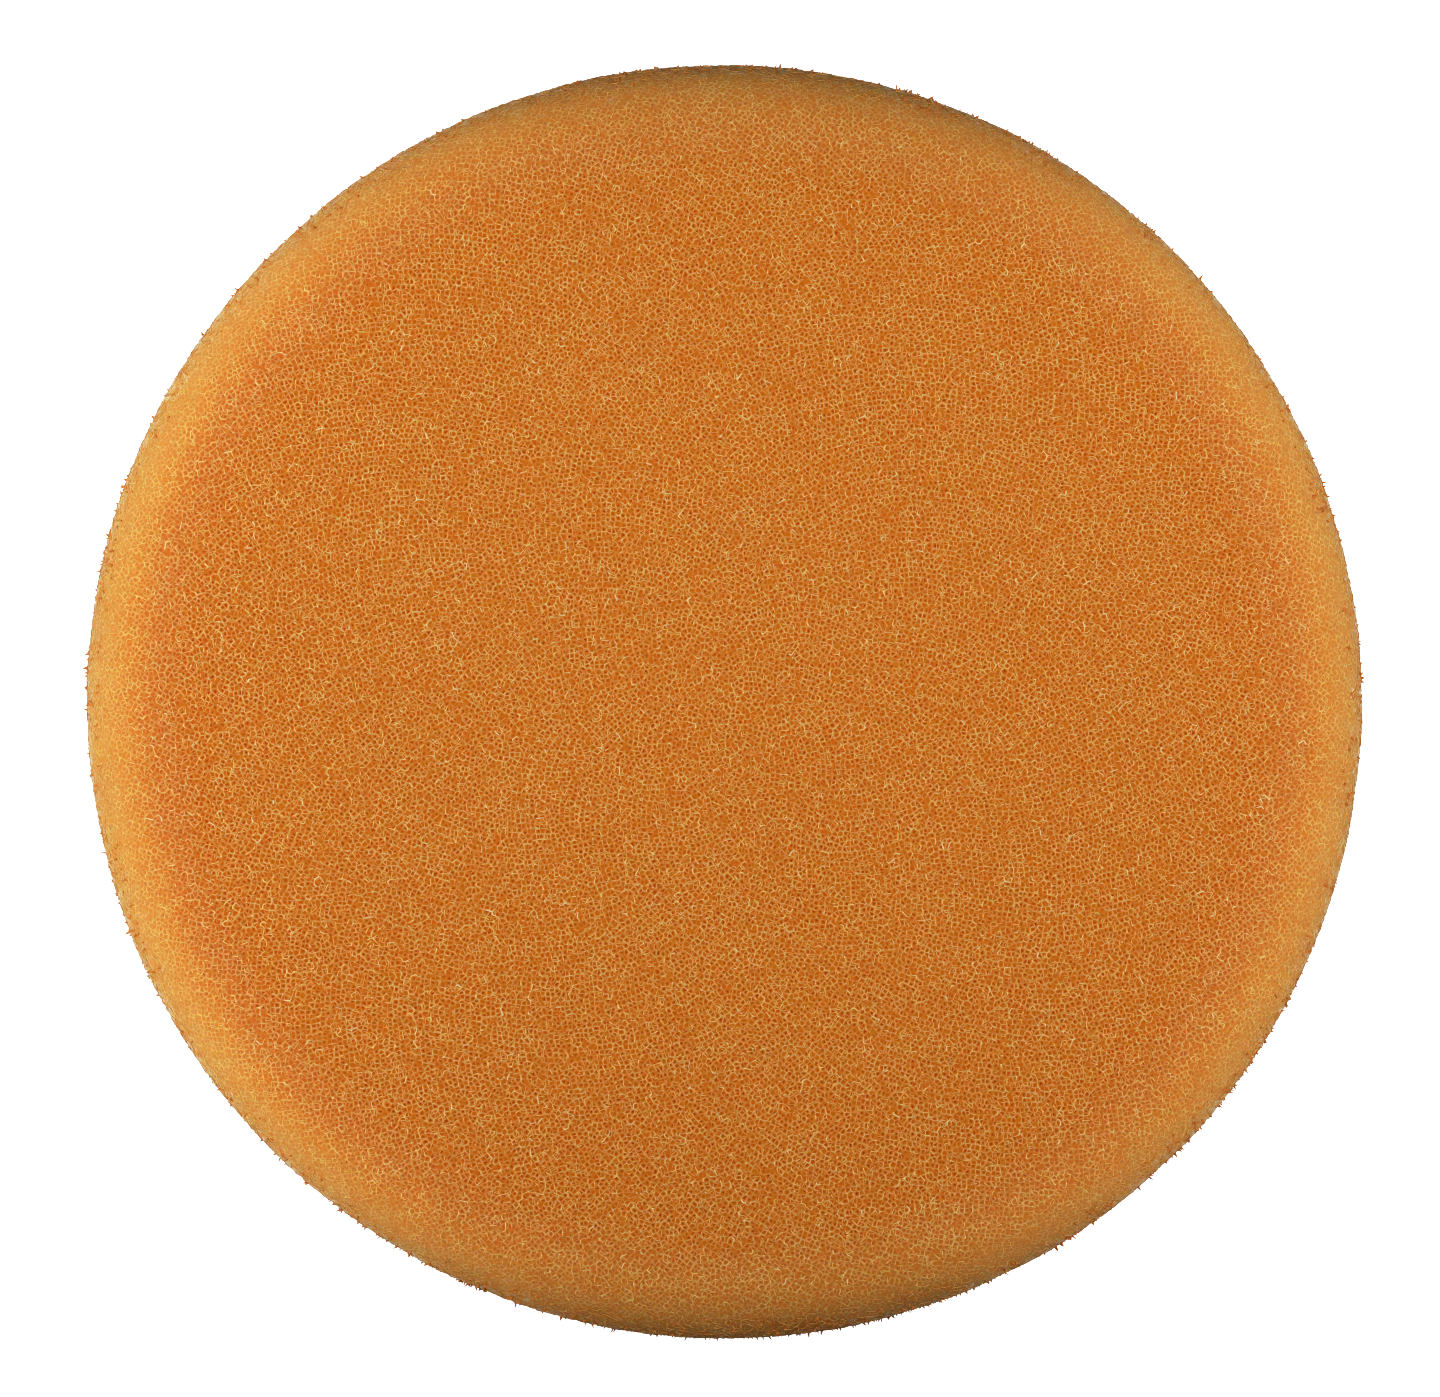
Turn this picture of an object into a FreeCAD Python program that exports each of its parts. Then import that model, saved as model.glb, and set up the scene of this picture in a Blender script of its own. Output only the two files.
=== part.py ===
import FreeCAD, Part
import os

import Sketcher

# A foam polishing pad for a rotary or orbital polisher.  Four layers are glued face to face
# into one sheet, the sheet is die cut into a disc, and the working edge is ground round.
# The pad lies on its loop face: +Z points out of the working face, and the origin is the
# centre of the loop face, where the pad grips the hooks of a backing plate.

# Driving dimensions in millimetres.
DRIVING_DIMENSIONS = {
    "pad_diameter": 150.0,
    "foam_thickness": 23.0,
    "working_edge_radius": 8.0,
    "film_thickness": 0.25,
    "cloth_thickness": 0.45,
    "pile_height": 1.3,
}

doc = FreeCAD.newDocument("polishing_pad")
sizes = doc.addObject("Spreadsheet::Sheet", "sizes")
for row, (alias, value) in enumerate(DRIVING_DIMENSIONS.items(), start=1):
    sizes.set(f"A{row}", alias)
    sizes.set(f"B{row}", str(value))
    sizes.setAlias(f"B{row}", alias)
doc.recompute()


def die_cut_layer(label, thickness, underside):
    """One layer's disc: a circle of the pad's diameter, padded upwards by its thickness.

    thickness names the layer's cell in the sheet, and underside lists the cells of the
    layers that lie below it, whose thicknesses add up to its height above the loop face.
    """
    body = doc.addObject("PartDesign::Body", label)
    outline = body.newObject("Sketcher::SketchObject", f"{label}_outline")
    ground = next(p for p in body.Origin.OriginFeatures if p.Role == "XY_Plane")
    outline.AttachmentSupport = (ground, [""])
    outline.MapMode = "FlatFace"
    centre = FreeCAD.Vector(0, 0, 0)
    upwards = FreeCAD.Vector(0, 0, 1)
    radius = DRIVING_DIMENSIONS["pad_diameter"] / 2
    circle = outline.addGeometry(Part.Circle(centre, upwards, radius), False)
    outline.addConstraint(Sketcher.Constraint("Coincident", circle, 3, -1, 1))
    width = outline.addConstraint(Sketcher.Constraint("Diameter", circle, 2 * radius))
    outline.setExpression(f"Constraints[{width}]", "sizes.pad_diameter")
    layer = body.newObject("PartDesign::Pad", f"{label}_layer")
    layer.Profile = outline
    layer.setExpression("Length", f"sizes.{thickness}")
    if underside:
        height = " + ".join(f"sizes.{cell}" for cell in underside)
        body.setExpression("Placement.Base.z", height)
    doc.recompute()
    return body


# Brushed loops that the hooks of the backing plate grip, as the envelope of the pile.
loop_pile = die_cut_layer("loop_pile", "pile_height", [])

# The knitted ground cloth that carries the loops.
loop_ground_cloth = die_cut_layer("loop_ground_cloth", "cloth_thickness", ["pile_height"])

# The hot-melt film that glues the cloth to the foam.
adhesive_film = die_cut_layer(
    "adhesive_film", "film_thickness", ["pile_height", "cloth_thickness"]
)

# The open-cell foam, one disc with a flat working face.
foam_disc = die_cut_layer(
    "foam_disc", "foam_thickness", ["pile_height", "cloth_thickness", "film_thickness"]
)

# The rim of the working face is ground to a radius, so that the foam can't catch on a
# panel's edge.  Its edge is the only one of the disc's that lies at the foam's full height.
foam_layer = foam_disc.Tip
rim_names = [
    f"Edge{number}"
    for number, edge in enumerate(foam_layer.Shape.Edges, start=1)
    if edge.BoundBox.ZMin > DRIVING_DIMENSIONS["foam_thickness"] / 2
]
working_edge = foam_disc.newObject("PartDesign::Fillet", "working_edge")
working_edge.Base = (foam_layer, rim_names)
working_edge.setExpression("Radius", "sizes.working_edge_radius")
doc.recompute()

# Every object has to have recomputed, and every layer has to be one valid solid.
layers = [foam_disc, adhesive_film, loop_ground_cloth, loop_pile]
for item in doc.Objects:
    if {"Invalid", "Error"} & set(item.State):
        raise RuntimeError(f"{item.Name} didn't recompute: {item.State}")
for layer in layers:
    if layer.Shape.isNull() or not layer.Shape.isValid() or len(layer.Shape.Solids) != 1:
        raise RuntimeError(f"{layer.Label} isn't one valid solid")

os.makedirs("parts", exist_ok=True)
for layer in layers:
    layer.Shape.exportStep(f"parts/{layer.Label}.step")
    box = layer.Shape.optimalBoundingBox()
    print(
        f"{layer.Label}: z {box.ZMin:.2f} to {box.ZMax:.2f} mm, "
        f"{box.XLength:.2f} mm across, {layer.Shape.Volume:.0f} mm3"
    )
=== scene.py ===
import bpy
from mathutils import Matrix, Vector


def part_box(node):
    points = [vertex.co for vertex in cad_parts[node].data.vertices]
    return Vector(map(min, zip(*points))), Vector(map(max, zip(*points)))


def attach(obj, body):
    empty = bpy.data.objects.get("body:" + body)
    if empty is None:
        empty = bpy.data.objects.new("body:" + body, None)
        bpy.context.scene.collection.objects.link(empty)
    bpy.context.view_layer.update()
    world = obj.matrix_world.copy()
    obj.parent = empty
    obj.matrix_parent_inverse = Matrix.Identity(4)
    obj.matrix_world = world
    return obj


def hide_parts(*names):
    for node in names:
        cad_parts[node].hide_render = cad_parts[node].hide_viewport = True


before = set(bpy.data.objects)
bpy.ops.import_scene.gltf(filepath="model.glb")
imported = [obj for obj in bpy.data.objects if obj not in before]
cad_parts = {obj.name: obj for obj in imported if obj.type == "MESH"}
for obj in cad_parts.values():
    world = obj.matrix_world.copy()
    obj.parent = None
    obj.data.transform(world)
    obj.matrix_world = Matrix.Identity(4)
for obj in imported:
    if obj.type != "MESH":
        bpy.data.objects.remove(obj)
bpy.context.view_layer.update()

import math

import bpy
import numpy as np
from mathutils import Vector
from mathutils.geometry import delaunay_2d_cdt


# ---------------------------------------------------------------------------------------
# Foam disc.
# Open-cell polyurethane foam, die cut into a disc and ground to a radius round its working
# face.  Cutting and grinding open every cell at the surface, so the disc's skin is a
# honeycomb of pits with a ridge between each pit and the next.

foam_low, foam_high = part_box("foam_disc")
pad_radius = (foam_high.x - foam_low.x) / 2
edge_radius = 0.008
flat_radius = pad_radius - edge_radius
cell_pitch = 0.00060
pit_depth = 0.00050
ridge_depth = 0.00012

face_length = flat_radius
edge_length = edge_radius * math.pi / 2
side_length = foam_high.z - edge_radius - foam_low.z
skin_length = face_length + edge_length + side_length


def skin_profile(along):
    """Radius, height and outward normal of the foam's skin at a distance from its centre.

    The distance runs over the flat face, a quarter circle of the edge radius, and straight
    down the side: r = along, then r = flat + R sin a and z = top - R + R cos a, then r = pad.
    """
    turn = np.clip((along - face_length) / edge_radius, 0, math.pi / 2)
    down = np.maximum(along - face_length - edge_length, 0)
    radius = np.minimum(along, face_length) + edge_radius * np.sin(turn)
    height = foam_high.z - edge_radius + edge_radius * np.cos(turn) - down
    return radius, height, np.sin(turn), np.cos(turn)


# The skin laid out flat, so that its cells can be drawn in a plane without changing their
# shape: a distance along the skin becomes the radius of a circle in the plane, and that
# radius grows with the skin in the ratio d(plane) / plane = d(along) / radius.
along_table = np.linspace(1e-6, skin_length + 6 * cell_pitch, 6000)
radius_table = skin_profile(along_table)[0]
steps = np.diff(along_table)
stretch = np.cumsum(steps * (1 / radius_table[:-1] + 1 / radius_table[1:]) / 2)
plane_table = along_table[0] * np.exp(np.concatenate([[0], stretch]))
ring_area = steps * math.pi * (radius_table[:-1] + radius_table[1:])
area_table = np.concatenate([[0], np.cumsum(ring_area)])
golden_turn = math.pi * (3 - math.sqrt(5))


def out_of_round(angle):
    """How much wider than its true radius the cut disc is, in metres, round its outline.

    It is a sum of cosines of the angle: an oval, two sets of shallow lobes, and fine nicks.
    """
    oval = 0.00008 * np.cos(2 * angle + 1.0)
    lobes = 0.00004 * np.cos(3 * angle + 1.8) + 0.00003 * np.cos(7 * angle - 0.9)
    nicks = 0.00004 * np.cos(23 * angle + 0.4) * np.cos(5 * angle + 1.1)
    fine_nicks = 0.00003 * np.cos(41 * angle + 2.0) * np.cos(3 * angle)
    return oval + lobes + nicks + fine_nicks


def on_skin(plane_points, height):
    """Places in space of points in the plane, each lifted off the skin by its height."""
    plane_radius = np.linalg.norm(plane_points, axis=1)
    angle = np.arctan2(plane_points[:, 1], plane_points[:, 0])
    along = np.interp(plane_radius, plane_table, along_table)
    radius, rise, outward, upward = skin_profile(np.minimum(along, skin_length))
    radius = radius + out_of_round(angle) * radius / pad_radius + height * outward
    x, y = radius * np.cos(angle), radius * np.sin(angle)
    return np.stack([x, y, rise + height * upward], axis=1)


def foam_cells(pitch, jitter, seed):
    """Cells of about this pitch all over the skin, as the dual of a Delaunay mesh.

    Cell k of n is k / n of the skin's area from the centre and k golden angles round, then
    moved at random.  The result holds the cells' sites and the corners where three cells
    meet, both in the plane, each corner's three cells, and one row for each wall: the cell
    on its one side, the cell on its other side, and its two corners, with where each cell
    stands in each corner's list.
    """
    random = np.random.default_rng(seed)
    count = int(area_table[-1] / (0.9 * pitch**2))
    share = (np.arange(count) + 0.5) / count
    along = np.interp(share * area_table[-1], area_table, along_table)
    plane_radius = np.interp(along, along_table, plane_table)
    angle = np.arange(count) * golden_turn
    sites = plane_radius[:, None] * np.stack([np.cos(angle), np.sin(angle)], axis=1)
    spread = pitch * jitter * plane_radius / skin_profile(along)[0]
    sites = sites + spread[:, None] * random.normal(size=(count, 2))
    made = delaunay_2d_cdt([Vector(p) for p in sites], [], [], 0, 1e-12)
    sites, corners = np.array([tuple(p) for p in made[0]]), np.array(made[2])
    a, b, c = (sites[corners[:, i]] for i in range(3))
    ab, ac = b - a, c - a
    twice = 2 * (ab[:, 0] * ac[:, 1] - ab[:, 1] * ac[:, 0])
    corners[twice < 0] = corners[twice < 0][:, ::-1]
    ab2, ac2 = (ab**2).sum(1), (ac**2).sum(1)
    x = (ac[:, 1] * ab2 - ab[:, 1] * ac2) / twice
    y = (ab[:, 0] * ac2 - ac[:, 0] * ab2) / twice
    centres = a + np.stack([x, y], axis=1)
    start = corners.ravel()
    end = np.roll(corners, -1, axis=1).ravel()
    corner = np.repeat(np.arange(len(corners)), 3)
    slot_start = np.tile([0, 1, 2], len(corners))
    slot_end = np.tile([1, 2, 0], len(corners))
    key = np.minimum(start, end) * len(sites) + np.maximum(start, end)
    order = np.argsort(key, kind="stable")
    twin = np.flatnonzero(key[order][1:] == key[order][:-1])
    one, two = order[twin], order[twin + 1]
    walls = {
        "left": start[one],
        "right": end[one],
        "corners": np.stack([corner[one], corner[two]], axis=1),
        "left_slots": np.stack([slot_start[one], slot_end[two]], axis=1),
        "right_slots": np.stack([slot_end[one], slot_start[two]], axis=1),
    }
    return sites, centres, corners, walls


def new_piece(name, points, *faces):
    """An object of these points and faces; each array of faces has one face a row."""
    used, corners = np.unique(np.concatenate([f.ravel() for f in faces]), return_inverse=True)
    sides = np.concatenate([np.full(len(f), f.shape[1]) for f in faces])
    mesh = bpy.data.meshes.new(name)
    mesh.vertices.add(len(used))
    mesh.vertices.foreach_set("co", points[used].astype(np.float32).ravel())
    mesh.loops.add(len(corners))
    mesh.loops.foreach_set("vertex_index", corners.astype(np.int32).ravel())
    mesh.polygons.add(len(sides))
    starts = np.concatenate([[0], np.cumsum(sides)[:-1]])
    mesh.polygons.foreach_set("loop_start", starts.astype(np.int32))
    mesh.update(calc_edges=True)
    piece = bpy.data.objects.new(name, mesh)
    bpy.context.scene.collection.objects.link(piece)
    return piece, used


def point_values(piece, name, values):
    """Stores one number at each of the piece's points, for its material to read."""
    attribute = piece.data.attributes.new(name, "FLOAT", "POINT")
    attribute.data.foreach_set("value", values.astype(np.float32))


# The wheel that rounds the edge also rubs the face for a few millimetres inside it and smooths its
# cells; a painted sheen pales the face there.
pale_reach = 0.006
smooth_reach = 0.003
side_paleness_lost = 0.6
openness_lost = 0.6
strand_lost = 0.3


def along_skin(plane_points):
    """How far along the skin, from the disc's centre, these points in the plane lie."""
    return np.interp(np.linalg.norm(plane_points, axis=1), plane_table, along_table)


def round_edge(share):
    """The distance along the skin at which this share of the round edge is passed."""
    return face_length + edge_length * share


def smooth_ramp(value, start, end):
    """0 below start and 1 above end, with a smooth rise between: 3 s^2 - 2 s^3."""
    share = np.clip((value - start) / (end - start), 0, 1)
    return share**2 * (3 - 2 * share)


def edge_sheen(plane_points):
    """How strongly a painted sheen pales the skin at these points: 0 on the face and 1 on the edge.

    It is the mean of two ramps, which meet an eighth of the way round the edge, and is 1 from
    the edge's middle.  Near the side it falls to 0.4.
    """
    along = along_skin(plane_points)
    first = smooth_ramp(along, face_length - pale_reach, round_edge(0.12))
    second = smooth_ramp(along, round_edge(0.12), round_edge(0.50))
    falling = smooth_ramp(along, round_edge(0.70), round_edge(1.10))
    return (first + second) / 2 * (1 - side_paleness_lost * falling)


def ground_smooth(plane_points):
    """How open the cells are: 1 on the face, falling to 0.4 where the edge is ground round."""
    along = along_skin(plane_points)
    return 1 - openness_lost * smooth_ramp(along, face_length - smooth_reach, round_edge(0.3))


# The strands' painted light grows weaker over the round edge.
def strand_strength(plane_points):
    """How strongly strands show: 1 on the face, falling to 0.7 by the edge's middle."""
    start = round_edge(0.10)
    ramp = smooth_ramp(along_skin(plane_points), start, start + edge_length * 0.40)
    return 1 - strand_lost * ramp


def mottled(plane_points, seed):
    """A slow uneven field over the skin, the mean of 16 waves of 3 to 10 mm, times 2.8."""
    random = np.random.default_rng(seed)
    place = on_skin(plane_points, 0.0)
    waves = random.normal(size=(16, 3))
    waves = waves / np.linalg.norm(waves, axis=1, keepdims=True)
    waves = waves * 2 * math.pi / random.uniform(0.003, 0.010, (16, 1))
    return 2.8 * np.cos(place @ waves.T + random.uniform(0, 2 * math.pi, 16)).mean(axis=1)


def foam_block():
    """The whole disc as one closed skin: a fan of faces from each pit to its ridge.

    Pits and ridges lie below the true skin by the pit's and the ridge's depth, each times a
    random share and the skin's openness.  The back is closed by a fan from the disc's centre.
    """
    random = np.random.default_rng(11)
    sites, centres, _, walls = foam_cells(cell_pitch, 0.20, 12)
    inside = np.linalg.norm(sites, axis=1) < np.interp(skin_length, along_table, plane_table)
    pit_depths = pit_depth * random.uniform(0.6, 1.35, len(sites))
    pits = on_skin(sites, -pit_depths * ground_smooth(sites))
    ridges = on_skin(centres, -ridge_depth * random.random(len(centres)) * ground_smooth(centres))
    first, second = walls["corners"].T + len(sites)
    left, right = walls["left"], walls["right"]
    fans_left = np.stack([left, second, first], axis=1)[inside[left]]
    fans_right = np.stack([right, first, second], axis=1)[inside[right]]
    back = np.array([[0, 0, foam_low.z]])
    centre = len(sites) + len(centres)
    rim_left = np.stack([first, second], axis=1)[inside[left] & ~inside[right]]
    rim_right = np.stack([second, first], axis=1)[inside[right] & ~inside[left]]
    rim = np.concatenate([rim_left, rim_right])
    points = np.concatenate([pits, ridges, back])
    points[np.unique(rim), 2] = foam_low.z
    closing = np.concatenate([rim, np.full((len(rim), 1), centre)], axis=1)
    piece, used = new_piece("foam_disc_cells", points, fans_left, fans_right, closing)
    rise = np.concatenate([np.zeros(len(sites)), np.ones(len(centres)), [0]])
    pit_tone = random.normal(0.52, 0.38, len(sites)) - 0.07 * mottled(sites, 13)
    pit_tone = np.clip(pit_tone, 0, 1)
    ridge_tone = random.normal(0.40, 0.30, len(centres)) + 0.07 * mottled(centres, 13)
    ridge_tone = np.clip(ridge_tone, 0, 1) * strand_strength(centres)
    # A point's height between pit and ridge sets how much painted shade or painted light it takes.
    point_values(piece, "rise", rise[used])
    point_values(piece, "tone", np.concatenate([pit_tone, ridge_tone, [0]])[used])
    # How much painted sheen each point takes.
    point_values(piece, "edge_sheen", np.concatenate([edge_sheen(sites), edge_sheen(centres), [0]])[used])
    return piece


foam = foam_block()
# The walls keep the foam's own colour.  The pits get painted shade, the strands painted light, the
# ground edge a painted sheen, and the strongest strands a painted glint.
pit_shade_colour = (0.48, 0.042, 0.0026)
wall_colour = (0.80, 0.206, 0.0058)
strand_light_colour = (1.0, 0.64, 0.155)
painted_glint_colour = (1.0, 0.74, 0.32)
painted_sheen_colour = (0.80, 0.375, 0.105)


def foam_finish(name, translucency):
    """Matt foam whose colour goes from painted shade in its pits over their walls to painted light on
    its ridges.

    rise is 0 in a pit and 1 on a ridge, and tone is how strongly that pit or ridge shows.
    The pit's painted shade fades out by three fifths of the way up, and a painted sheen pales the
    ground edge.
    A strand's painted light fades in over the last third, and only the strongest strands get a painted
    glint.
    """
    material = bpy.data.materials.new(name)
    material.use_nodes = True
    nodes, links = material.node_tree.nodes, material.node_tree.links
    shader = nodes["Principled BSDF"]
    rise = nodes.new("ShaderNodeAttribute")
    rise.attribute_name = "rise"
    tone = nodes.new("ShaderNodeAttribute")
    tone.attribute_name = "tone"
    sheen_attribute = nodes.new("ShaderNodeAttribute")
    sheen_attribute.attribute_name = "edge_sheen"

    def smooth_step(value, start, end):
        step = nodes.new("ShaderNodeMapRange")
        step.interpolation_type = "SMOOTHSTEP"
        step.inputs["From Min"].default_value = start
        step.inputs["From Max"].default_value = end
        links.new(value, step.inputs["Value"])
        return step.outputs["Result"]

    def product(first, second):
        times = nodes.new("ShaderNodeMath")
        times.operation = "MULTIPLY"
        links.new(first, times.inputs[0])
        links.new(second, times.inputs[1])
        return times.outputs["Value"]

    def painted(under, colour, amount):
        mix = nodes.new("ShaderNodeMix")
        mix.data_type = "RGBA"
        if under is None:
            mix.inputs["A"].default_value = (*wall_colour, 1)
        else:
            links.new(under, mix.inputs["A"])
        mix.inputs["B"].default_value = (*colour, 1)
        links.new(amount, mix.inputs["Factor"])
        return mix.outputs["Result"]

    # Painted shade darkens the pits and painted light pales the strands.
    pit_shade_mask = product(smooth_step(rise.outputs["Fac"], 0.60, 0.05), tone.outputs["Fac"])
    on_ridge = smooth_step(rise.outputs["Fac"], 0.66, 0.92)
    strand_light_mask = product(on_ridge, tone.outputs["Fac"])
    # The strongest strands are painted near white: a painted glint, a painted highlight.
    painted_glint_mask = product(on_ridge, smooth_step(tone.outputs["Fac"], 0.90, 1.0))
    colour = painted(None, pit_shade_colour, pit_shade_mask)
    # A painted sheen pales the ground edge, the more where the tone is high.
    spread = smooth_step(tone.outputs["Fac"], -1.5, 2.5)
    colour = painted(colour, painted_sheen_colour, product(sheen_attribute.outputs["Fac"], spread))
    colour = painted(colour, strand_light_colour, strand_light_mask)
    colour = painted(colour, painted_glint_colour, painted_glint_mask)
    links.new(colour, shader.inputs["Base Color"])
    shader.inputs["Roughness"].default_value = 0.8
    shader.inputs["Specular IOR Level"].default_value = 0.08
    shader.inputs["Subsurface Weight"].default_value = translucency
    shader.inputs["Subsurface Radius"].default_value = (1.0, 0.40, 0.13)
    shader.inputs["Subsurface Scale"].default_value = 0.020
    return material


cut_foam = foam_finish("cut_foam", 1.0)
foam.data.materials.append(cut_foam)
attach(foam, "root")
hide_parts("foam_disc")


# ---------------------------------------------------------------------------------------
# Standing struts.
# The struts between opened cells stand proud of the foam's skin as a loose net.  More than
# half tear out when the disc is cut, so the net has wide gaps and free ends.

net_pitch = 0.00077
strut_half_width = 0.000055
strut_depth = 0.00009
torn_out_share = 0.58
deepest_strut, highest_strut = -0.00014, 0.00012
faintest_strut = 0.22
strut_tone_spread = 0.30


def strut_net():
    """A closed net of three-sided struts, one along each wall that wasn't torn out.

    A strut has a flat top between two edges and a third edge below them.  The lower edge
    joins two corners where three cells meet, and the upper edges join those corners moved
    towards the cell on either side by the strut's half width.
    """
    random = np.random.default_rng(21)
    sites, centres, corners, walls = foam_cells(net_pitch, 0.25, 22)
    plane_end = np.interp(skin_length - net_pitch, along_table, plane_table)
    inside = np.linalg.norm(centres, axis=1) < plane_end
    lift = random.uniform(deepest_strut, highest_strut, len(centres)) * ground_smooth(centres)
    scale = np.interp(np.linalg.norm(centres, axis=1), plane_table, plane_table / radius_table)
    to_site = sites[corners] - centres[:, None]
    reach = np.linalg.norm(to_site, axis=2, keepdims=True)
    thickness = random.uniform(1.0, 2.0, (len(centres), 1, 1))
    half = strut_half_width * scale[:, None, None] * thickness
    edges = centres[:, None] + to_site * np.minimum(half / reach, 0.6)
    keels = on_skin(centres, lift - strut_depth / 2)
    edges = on_skin(edges.reshape(-1, 2), np.repeat(lift + strut_depth / 2, 3))
    first, second = walls["corners"].T
    kept = inside[first] & inside[second] & (random.random(len(first)) > torn_out_share)
    joined = np.bincount(walls["corners"][kept].ravel(), minlength=len(centres)) > 0
    count = len(centres)
    left_one, left_two = (count + 3 * walls["corners"] + walls["left_slots"]).T
    right_one, right_two = (count + 3 * walls["corners"] + walls["right_slots"]).T
    left_face = np.stack([first, second, left_two, left_one], axis=1)[kept]
    right_face = np.stack([right_one, right_two, second, first], axis=1)[kept]
    top = np.stack([left_one, left_two, right_two, right_one], axis=1)[kept]
    end_one = np.stack([right_one, left_one, first], axis=1)[~kept & joined[first]]
    end_two = np.stack([right_two, second, left_two], axis=1)[~kept & joined[second]]
    hub = count + 3 * np.flatnonzero(joined)
    hubs = np.stack([hub, hub + 1, hub + 2], axis=1)
    points = np.concatenate([keels, edges])
    piece, used = new_piece(
        "foam_disc_struts", points, left_face, right_face, top, end_one, end_two, hubs
    )
    tone = random.exponential(strut_tone_spread, count) + faintest_strut
    tone = tone + 0.05 * mottled(centres, 13)
    tone = np.clip(tone, 0, 1) * strand_strength(centres)
    # The struts stand high, so they take the strands' painted light.
    rise = np.concatenate([np.full(count, 0.7), np.ones(3 * count)])
    point_values(piece, "rise", rise[used])
    point_values(piece, "tone", np.concatenate([tone, np.repeat(tone, 3)])[used])
    # The struts take the edge's painted sheen too.
    sheen_share = edge_sheen(centres)
    point_values(piece, "edge_sheen", np.concatenate([sheen_share, np.repeat(sheen_share, 3)])[used])
    return piece


struts = strut_net()
struts.data.materials.append(foam_finish("foam_struts", 0.0))
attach(struts, "root")


# ---------------------------------------------------------------------------------------
# Torn struts.
# Where the die and the grinding wheel tore the foam, broken struts stick out of its skin as
# short bent stubs, in patches round the side and singly over the face.

side_spikes = 2300
face_spikes = 420
torn_patches = 150
patch_spread = 0.03
spike_radius = 0.00005
side_stoutness = 3.8
longest_spike = 0.00070
root_depth = 0.00012
clear_of_back = 0.0004


def spikes():
    """Closed three-sided spikes: a root ring, a bent middle ring, and a point.

    A ring at a share s of the way up stands at root + s (l + d) normal + s^2 l lean, where l is
    the spike's length and d its root's depth.  The middle ring, at s = 0.55, has 0.65 of the
    root's radius, and the point leans by a random 0.3 to 1 of l.
    """
    random = np.random.default_rng(31)
    patch = random.integers(0, torn_patches, side_spikes)
    side_angle = random.uniform(0, 2 * math.pi, torn_patches)[patch]
    side_angle = side_angle + random.normal(0, patch_spread, side_spikes)
    side_along = random.uniform(round_edge(0.5), skin_length - clear_of_back, side_spikes)
    face_along = np.interp(random.random(face_spikes) * area_table[-1], area_table, along_table)
    face_along = np.minimum(face_along, skin_length - clear_of_back)
    angle = np.concatenate([side_angle, random.uniform(0, 2 * math.pi, face_spikes)])
    along = np.concatenate([side_along, face_along])
    side_long = 0.00028 + random.exponential(0.00013, side_spikes)
    face_long = random.uniform(0.00012, 0.00030, face_spikes)
    long = np.minimum(np.concatenate([side_long, face_long]), longest_spike)[:, None]
    count = len(angle)
    flat = np.interp(along, along_table, plane_table)[:, None]
    plane = flat * np.stack([np.cos(angle), np.sin(angle)], axis=1)
    root = on_skin(plane, np.full(count, -root_depth))
    normal = on_skin(plane, np.full(count, 0.001)) - on_skin(plane, np.zeros(count))
    normal = normal / np.linalg.norm(normal, axis=1, keepdims=True)
    lean = np.cross(normal, random.normal(size=(count, 3)))
    lean = lean / np.linalg.norm(lean, axis=1, keepdims=True)
    across = np.cross(normal, lean)
    stout = np.concatenate([np.full(side_spikes, side_stoutness), np.ones(face_spikes)])
    width = spike_radius * stout[:, None] * random.uniform(0.7, 1.3, (count, 1))
    rings = []
    for share, taper in ((0.0, 1.0), (0.55, 0.65)):
        middle = root + share * (long + root_depth) * normal + share**2 * long * lean
        for turn in (0, 2 * math.pi / 3, 4 * math.pi / 3):
            rings.append(middle + taper * width * (math.cos(turn) * lean + math.sin(turn) * across))
    tip_lean = random.uniform(0.3, 1.0, (count, 1))
    tip = root + (long + root_depth) * normal + long * lean * tip_lean
    points = np.concatenate([*rings, tip])
    spot = np.arange(count)
    sides = []
    for k in range(3):
        here, beside = k * count + spot, (k + 1) % 3 * count + spot
        sides.append(np.stack([here, beside, beside + 3 * count, here + 3 * count], axis=1))
    tops = []
    for k in range(3):
        here, beside = (3 + k) * count + spot, (3 + (k + 1) % 3) * count + spot
        tops.append(np.stack([here, beside, 6 * count + spot], axis=1))
    under = np.stack([2 * count + spot, count + spot, spot], axis=1)
    piece, used = new_piece("foam_disc_torn_struts", points, *sides, *tops, under)
    on_side = spot < side_spikes
    # The stubs on the side sit part way into the pits' painted shade, so they show darker, and those on
    # the face take some of the strands' painted light.
    rise = np.where(on_side, 0.45, 0.8)
    tone = np.where(on_side, 0.7, random.random(count))
    point_values(piece, "rise", np.tile(rise, 7)[used])
    point_values(piece, "tone", np.tile(tone, 7)[used])
    point_values(piece, "edge_sheen", np.tile(0.6 * edge_sheen(plane), 7)[used])
    return piece


torn = spikes()
torn.data.materials.append(struts.data.materials[0])
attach(torn, "root")


# ---------------------------------------------------------------------------------------
# Adhesive film.
# A hot-melt film laminates the loop cloth to the foam's back.  The press squeezes it out a
# little, so a fine uneven bead of it shows at the rim.

film_low, film_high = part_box("adhesive_film")
film_thickness = film_high.z - film_low.z
layer_gap = 0.00001
bead_set_back = 0.00012
rim_points = 720


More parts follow.
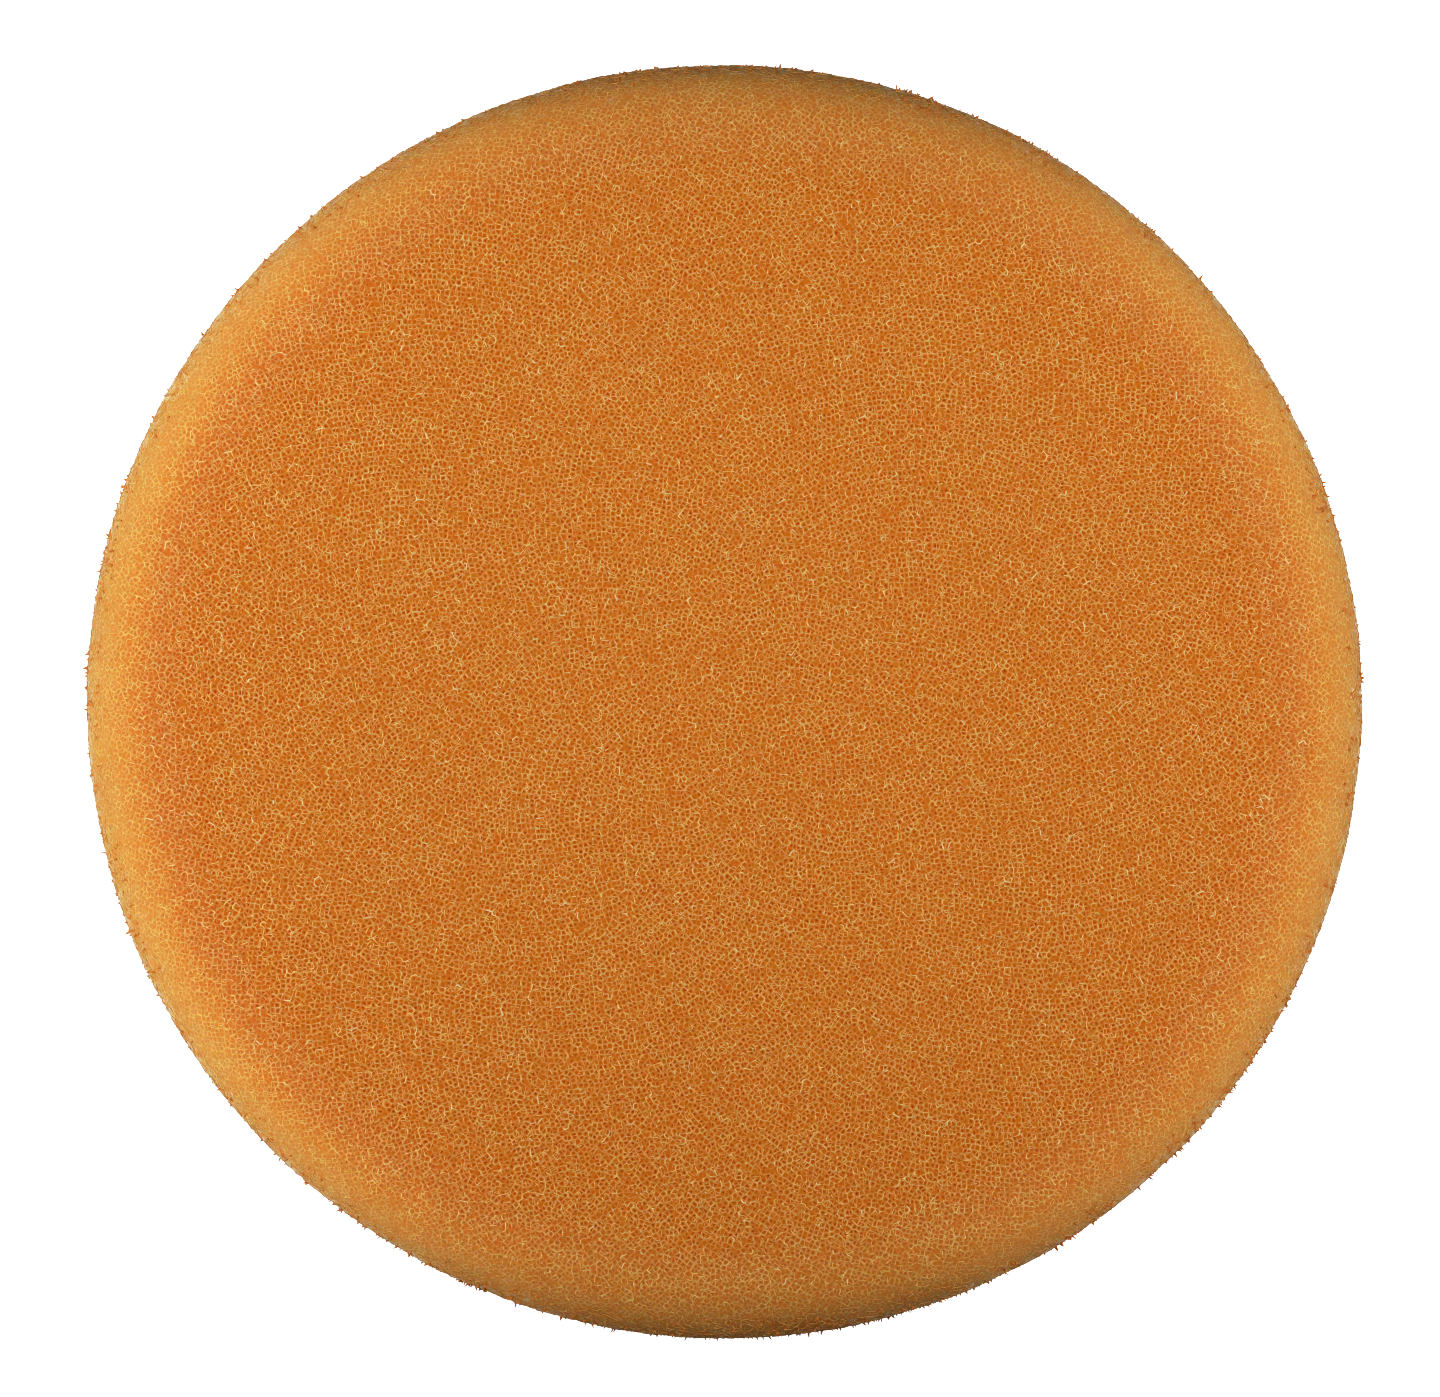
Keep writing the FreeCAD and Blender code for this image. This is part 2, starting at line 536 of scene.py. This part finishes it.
def film_layer():
    """A disc with a half-round bead at its rim, as rings of points from pole to pole.

    The rim's radius is the pad's, less an uneven 0.1 mm, plus the bead h cos b, and the
    height is the film's middle plus h sin b, where h is half the film's thickness.
    """
    angle = np.linspace(0, 2 * math.pi, rim_points, endpoint=False)
    ooze = 0.00005 * np.sin(61 * angle + 2 * np.sin(9 * angle)) + 0.00004 * np.sin(173 * angle)
    rim = pad_radius - bead_set_back + out_of_round(angle) + ooze
    half = film_thickness / 2 - layer_gap
    bead = np.linspace(-math.pi / 2, math.pi / 2, 7)
    reach = [0.3 * rim, 0.6 * rim, 0.85 * rim]
    height = [np.full(rim_points, -half)] * 3
    for b in bead:
        reach.append(rim + half * math.cos(b))
        height.append(np.full(rim_points, half * math.sin(b)))
    reach.extend([0.85 * rim, 0.6 * rim, 0.3 * rim])
    height.extend([np.full(rim_points, half)] * 3)
    reach, height = np.array(reach), np.array(height) + film_low.z + film_thickness / 2
    points = np.stack([reach * np.cos(angle), reach * np.sin(angle), height], axis=2)
    poles = np.array([[0, 0, height[0, 0]], [0, 0, height[-1, 0]]])
    rows = len(reach)
    row, column = np.meshgrid(np.arange(rows - 1), np.arange(rim_points), indexing="ij")
    here, beside = row * rim_points + column, row * rim_points + (column + 1) % rim_points
    walls = np.stack([here, beside, beside + rim_points, here + rim_points], axis=2).reshape(-1, 4)
    column = np.arange(rim_points)
    beside = (column + 1) % rim_points
    below = np.stack([beside, column, np.full(rim_points, rows * rim_points)], axis=1)
    last = (rows - 1) * rim_points
    above = np.stack([last + column, last + beside, np.full(rim_points, rows * rim_points + 1)], axis=1)
    points = np.concatenate([points.reshape(-1, 3), poles])
    return new_piece("adhesive_film_layer", points, walls, below, above)[0]


film = film_layer()
glue = bpy.data.materials.new("hot_melt_film")
glue.use_nodes = True
nodes, links = glue.node_tree.nodes, glue.node_tree.links
shader = nodes["Principled BSDF"]
place = nodes.new("ShaderNodeTexCoord")
streaks = nodes.new("ShaderNodeTexNoise")
streaks.inputs["Scale"].default_value = 900.0
streaks.inputs["Detail"].default_value = 4.0
links.new(place.outputs["Object"], streaks.inputs["Vector"])
amber = nodes.new("ShaderNodeValToRGB")
amber.color_ramp.elements[0].position = 0.35
amber.color_ramp.elements[0].color = (0.42, 0.27, 0.10, 1)
amber.color_ramp.elements[1].position = 0.70
amber.color_ramp.elements[1].color = (0.66, 0.52, 0.28, 1)
links.new(streaks.outputs["Fac"], amber.inputs["Fac"])
links.new(amber.outputs["Color"], shader.inputs["Base Color"])
bump = nodes.new("ShaderNodeBump")
bump.inputs["Strength"].default_value = 0.4
bump.inputs["Distance"].default_value = 0.0001
links.new(streaks.outputs["Fac"], bump.inputs["Height"])
links.new(bump.outputs["Normal"], shader.inputs["Normal"])
shader.inputs["Roughness"].default_value = 0.3
film.data.materials.append(glue)
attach(film, "root")
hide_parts("adhesive_film")


# ---------------------------------------------------------------------------------------
# Ground cloth.
# A warp-knitted polyamide cloth, cut with the foam to the same circle.  Its wales stand up
# as fine ribs on the side that carries the loops.

cloth_low, cloth_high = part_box("loop_ground_cloth")
wale_pitch = 0.00165
wale_height = 0.00012
fray = 0.00006
cut_set_back = 0.00018


def knitted_cloth():
    """A thin closed disc laid out as chords: x = R sin s, y = v R cos s, for v from -1 to 1.

    R is the cut's radius, frayed at random.  The upper face is flat against the film, and the
    lower one rises between its wales by h (1 - cos(2 pi x / pitch)) / 2.
    """
    random = np.random.default_rng(41)
    columns, rows = 601, 13
    s = np.linspace(-math.pi / 2, math.pi / 2, columns)[1:-1]
    v = np.linspace(-1, 1, rows)
    cut = pad_radius - cut_set_back + random.uniform(-fray, fray, (columns - 2, 2))
    radius = np.where(v < 0, cut[:, :1], cut[:, 1:])
    x = (cut.mean(axis=1) * np.sin(s))[:, None] + 0 * v
    y = v * radius * np.cos(s)[:, None]
    bulge = np.where(abs(v) == 1, 0.00008, 0)
    ribs = wale_height * (1 - np.cos(2 * math.pi * x / wale_pitch)) / 2
    lower = np.stack([x, y, cloth_low.z + ribs + bulge + 0 * x], axis=2).reshape(-1, 3)
    upper = np.stack([x, y, cloth_high.z - layer_gap - bulge + 0 * x], axis=2).reshape(-1, 3)
    middle = (cloth_low.z + cloth_high.z) / 2
    ends = np.array([[-pad_radius + 0.0002, 0, middle], [pad_radius - 0.0002, 0, middle]])
    count = len(lower)
    column, row = np.meshgrid(np.arange(columns - 3), np.arange(rows - 1), indexing="ij")
    here = (column * rows + row).ravel()
    under = np.stack([here, here + 1, here + rows + 1, here + rows], axis=1)
    over = under[:, ::-1] + count
    near = np.arange(columns - 3) * rows
    far = near + rows - 1
    near_rim = np.stack([near, near + rows, near + rows + count, near + count], axis=1)
    far_rim = np.stack([far + rows, far, far + count, far + rows + count], axis=1)
    caps = []
    for edge, end, turn in ((0, 2 * count, 1), ((columns - 3) * rows, 2 * count + 1, -1)):
        loop = np.concatenate([edge + np.arange(rows), edge + count + np.arange(rows)[::-1]])
        cap = np.stack([np.roll(loop, -1), loop, np.full(2 * rows, end)], axis=1)
        caps.append(cap[:, ::turn])
    points = np.concatenate([lower, upper, ends])
    return new_piece("loop_ground_cloth_knit", points, under, over, near_rim, far_rim, *caps)[0]


def knit_finish(name, dark, light, pitch):
    """Cloth whose colour and bump follow its wales along X and its courses along Y."""
    material = bpy.data.materials.new(name)
    material.use_nodes = True
    nodes, links = material.node_tree.nodes, material.node_tree.links
    shader = nodes["Principled BSDF"]
    place = nodes.new("ShaderNodeTexCoord")
    heights = []
    for direction in ("X", "Y"):
        wave = nodes.new("ShaderNodeTexWave")
        wave.bands_direction = direction
        wave.inputs["Scale"].default_value = math.pi / (10 * pitch)
        wave.inputs["Distortion"].default_value = 1.5
        wave.inputs["Detail"].default_value = 2.0
        links.new(place.outputs["Object"], wave.inputs["Vector"])
        heights.append(wave.outputs["Fac"])
    knit = nodes.new("ShaderNodeMath")
    knit.operation = "MULTIPLY"
    links.new(heights[0], knit.inputs[0])
    links.new(heights[1], knit.inputs[1])
    # The knit is painted darker where its bump is low: painted shade in its hollows.
    painted_shade_ramp = nodes.new("ShaderNodeValToRGB")
    painted_shade_ramp.color_ramp.elements[0].color = (*dark, 1)
    painted_shade_ramp.color_ramp.elements[1].color = (*light, 1)
    links.new(knit.outputs["Value"], painted_shade_ramp.inputs["Fac"])
    links.new(painted_shade_ramp.outputs["Color"], shader.inputs["Base Color"])
    bump = nodes.new("ShaderNodeBump")
    bump.inputs["Strength"].default_value = 0.6
    bump.inputs["Distance"].default_value = pitch / 8
    links.new(knit.outputs["Value"], bump.inputs["Height"])
    links.new(bump.outputs["Normal"], shader.inputs["Normal"])
    shader.inputs["Roughness"].default_value = 0.85
    shader.inputs["Sheen Weight"].default_value = 0.2
    return material


cloth = knitted_cloth()
cloth.data.materials.append(
    knit_finish("knitted_polyamide", (0.52, 0.50, 0.46), (0.78, 0.77, 0.73), wale_pitch / 3)
)
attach(cloth, "root")
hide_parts("loop_ground_cloth")


# ---------------------------------------------------------------------------------------
# Loop pile.
# Loops of soft polyamide yarn stand on every wale of the ground cloth, brushed over at
# random.  The hooks of a backing plate catch in them and hold the pad.

pile_low, pile_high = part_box("loop_pile")
yarn_radius = 0.00015
bare_rim = 0.0009
sunk_end = 0.00008


def pile_loops():
    """Small closed arches of yarn hanging from the cloth, each a bent three-sided tube.

    With t from 0 to 1, a loop's line is w cos(pi t) to one side and d sin(pi t)^0.6 down,
    and a share of its depth leans it over.  Its ends are sunk in the cloth.
    """
    random = np.random.default_rng(51)
    rows = int(2 * pad_radius / wale_pitch) + 1
    line = (np.arange(rows) - (rows - 1) / 2) * wale_pitch
    x, y = (a.ravel() for a in np.meshgrid(line, line, indexing="ij"))
    y = y + (np.arange(len(y)) // rows % 2) * wale_pitch / 2
    x = x + random.normal(0, 0.00012, len(x))
    y = y + random.normal(0, 0.00018, len(y))
    kept = np.hypot(x, y) < pad_radius - bare_rim
    x, y = x[kept], y[kept]
    count = len(x)
    turn = random.normal(math.pi / 2, 0.5, count)
    width = random.uniform(0.00045, 0.00062, count)
    root = cloth_low.z + sunk_end
    depth = (root - pile_low.z - yarn_radius) * random.uniform(0.86, 1.0, count)
    lean_x, lean_y = random.normal(0, 0.22, (2, count))
    t = np.array([0.0, 0.22, 0.5, 0.78, 1.0])
    aside, down = np.cos(math.pi * t), np.clip(np.sin(math.pi * t), 0, 1) ** 0.6
    facing = np.array([0.0, 0.35, 1.0, 0.35, 0.0])
    side = np.array([1.0, 0.94, 0.0, -0.94, -1.0])
    rings = []
    for k in range(5):
        for corner in (0, 2 * math.pi / 3, 4 * math.pi / 3):
            out = yarn_radius * math.cos(corner)
            flat = width * aside[k] + out * side[k]
            over = yarn_radius * math.sin(corner) * 1.3
            drop = depth * down[k] + out * facing[k]
            px = x + flat * np.cos(turn) - over * np.sin(turn) + lean_x * drop
            py = y + flat * np.sin(turn) + over * np.cos(turn) + lean_y * drop
            rings.append(np.stack([px, py, root - drop], axis=1))
    points = np.concatenate(rings)
    spot = np.arange(count)
    faces = []
    for k in range(4):
        for j in range(3):
            here, beside = 3 * k + j, 3 * k + (j + 1) % 3
            corners = [here, here + 3, beside + 3, beside]
            faces.append(np.stack([c * count + spot for c in corners], axis=1))
    for corners in ((0, 1, 2), (14, 13, 12)):
        faces.append(np.stack([c * count + spot for c in corners], axis=1))
    piece, used = new_piece("loop_pile_yarn", points, *faces)
    along = np.repeat(np.abs(2 * t - 1), 3 * count)
    point_values(piece, "along", along[used])
    return piece


pile = pile_loops()
yarn = bpy.data.materials.new("brushed_yarn")
yarn.use_nodes = True
nodes, links = yarn.node_tree.nodes, yarn.node_tree.links
shader = nodes["Principled BSDF"]
# The yarn is painted darker towards its ends in the cloth: painted shade.
along_loop = nodes.new("ShaderNodeAttribute")
along_loop.attribute_name = "along"
painted_shade_ramp = nodes.new("ShaderNodeValToRGB")
painted_shade_ramp.color_ramp.elements[0].color = (0.86, 0.85, 0.81, 1)
painted_shade_ramp.color_ramp.elements[1].color = (0.55, 0.53, 0.49, 1)
links.new(along_loop.outputs["Fac"], painted_shade_ramp.inputs["Fac"])
links.new(painted_shade_ramp.outputs["Color"], shader.inputs["Base Color"])
place = nodes.new("ShaderNodeTexCoord")
fibres = nodes.new("ShaderNodeTexNoise")
fibres.inputs["Scale"].default_value = 9000.0
links.new(place.outputs["Object"], fibres.inputs["Vector"])
bump = nodes.new("ShaderNodeBump")
bump.inputs["Strength"].default_value = 0.5
bump.inputs["Distance"].default_value = 0.00004
links.new(fibres.outputs["Fac"], bump.inputs["Height"])
links.new(bump.outputs["Normal"], shader.inputs["Normal"])
shader.inputs["Roughness"].default_value = 0.75
shader.inputs["Sheen Weight"].default_value = 0.4
pile.data.materials.append(yarn)
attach(pile, "root")
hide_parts("loop_pile")


# ---------------------------------------------------------------------------------------
# Studio.
# The pad lies on white paper that glows and takes no shadow.  One soft box hangs over it, and
# strip lights stand low round it and shine through the edge of the foam.

scene = bpy.context.scene
scene.view_settings.view_transform = "Standard"
scene.cycles.filter_width = 1.0
scene.cycles.denoising_prefilter = "NONE"

# The camera's film shows light up to the start of its shoulder, s, as it is.  Above that it
# brightens ever more slowly: y = s + (1 - s) (1 - (1 - t)^p), t going from 0 at s to 1 at white.
shoulder_start = 0.4
white_light = 1.8
shoulder_power = (white_light - shoulder_start) / (1 - shoulder_start)
scene.view_settings.use_curve_mapping = True
film_curve = scene.view_settings.curve_mapping
film_curve.white_level = (white_light, white_light, white_light)
film_curve.curves[3].points.new(0.5 * shoulder_start / white_light, 0.5 * shoulder_start)
for t in (0.0, 0.1, 0.2, 0.35, 0.55, 0.75):
    level = shoulder_start + t * (white_light - shoulder_start)
    shown = shoulder_start + (1 - shoulder_start) * (1 - (1 - t) ** shoulder_power)
    film_curve.curves[3].points.new(level / white_light, shown)
film_curve.update()

camera = bpy.data.objects.new("camera", bpy.data.cameras.new("camera"))
scene.collection.objects.link(camera)
scene.camera = camera
lens_length = 120
film_width = 36
frame_width = 0.1697
silhouette_height = foam_high.z - edge_radius
camera.data.lens = lens_length
camera.data.sensor_width = film_width
camera_height = silhouette_height + frame_width * lens_length / film_width
camera.location = (-0.00052, 0.0004, camera_height)
camera.data.clip_start = 0.01

floor_radius = 2.0
turn_up_radius = 1.0
wall_top = 4.0


def paper_bowl():
    """A round floor whose rim turns up into a wall: z = 0, then a quarter circle, then up."""
    sides = 96
    turn = np.linspace(0, math.pi / 2, 24)
    radius = floor_radius + turn_up_radius * np.sin(turn)
    radius = np.concatenate([[0.0], radius, [floor_radius + turn_up_radius]])
    height = np.concatenate([[0.0], turn_up_radius * (1 - np.cos(turn)), [wall_top]])
    angle = np.linspace(0, 2 * math.pi, sides, endpoint=False)
    x, y = np.outer(radius, np.cos(angle)), np.outer(radius, np.sin(angle))
    points = np.stack([x, y, np.repeat(height[:, None], sides, axis=1)], axis=2).reshape(-1, 3)
    row, column = np.meshgrid(np.arange(len(radius) - 1), np.arange(sides), indexing="ij")
    here, beside = row * sides + column, row * sides + (column + 1) % sides
    faces = np.stack([here, here + sides, beside + sides, beside], axis=2).reshape(-1, 4)
    return new_piece("paper_bowl", points, faces)[0]


bowl = paper_bowl()
paper = bpy.data.materials.new("white_paper")
paper.use_nodes = True
paper_shader = paper.node_tree.nodes["Principled BSDF"]
paper_shader.inputs["Base Color"].default_value = (0.9, 0.9, 0.9, 1)
paper_shader.inputs["Roughness"].default_value = 0.9
paper_shader.inputs["Emission Color"].default_value = (1, 1, 1, 1)
paper_shader.inputs["Emission Strength"].default_value = white_light * 1.02
bowl.data.materials.append(paper)
bowl.visible_diffuse = False
bowl.visible_glossy = False
bowl.visible_shadow = False


def soft_box(name, place, size, power):
    """A rectangular area light of this size that faces the pad's centre."""
    light = bpy.data.lights.new(name, "AREA")
    light.shape = "RECTANGLE"
    light.size, light.size_y = size
    light.energy = power
    lamp = bpy.data.objects.new(name, light)
    scene.collection.objects.link(lamp)
    lamp.location = place
    aim = Vector((0, 0, 0.015)) - Vector(place)
    lamp.rotation_mode = "QUATERNION"
    lamp.rotation_quaternion = aim.to_track_quat("-Z", "Y")
    lamp.visible_camera = False
    return lamp


soft_box("overhead_soft_box", (0.0, 0.03, 0.24), (0.08, 0.08), 0.298)
soft_box("paper_glow", (0.0, 0.0, -0.03), (0.13, 0.13), 0.05)

# A long strip light stands to the pad's left and right, and a short one at each corner.  Those
# on the left are the stronger.  Each has a direction in degrees, a height, a length and a power.
ring_radius = 0.118
strip_width = 0.02
long_strip = 0.18
short_strip = 0.08
corner_height = 0.056
left_corner_power = 0.0210
right_corner_power = 0.0122
strip_lights = {
    "left": (180, 0.054, long_strip, 0.063),
    "right": (0, 0.058, long_strip, 0.048),
    "upper_left": (135, corner_height, short_strip, left_corner_power),
    "lower_left": (225, corner_height, short_strip, left_corner_power),
    "upper_right": (45, corner_height, short_strip, right_corner_power),
    "lower_right": (315, corner_height, short_strip, right_corner_power),
}
for side, (degrees, height, length, power) in strip_lights.items():
    turn = math.radians(degrees)
    place = (ring_radius * math.cos(turn), ring_radius * math.sin(turn), height)
    soft_box(side + "_strip_light", place, (length, strip_width), power)

world = bpy.data.worlds.new("studio")
world.use_nodes = True
world.node_tree.nodes["Background"].inputs["Color"].default_value = (1, 1, 1, 1)
world.node_tree.nodes["Background"].inputs["Strength"].default_value = 0.005
scene.world = world
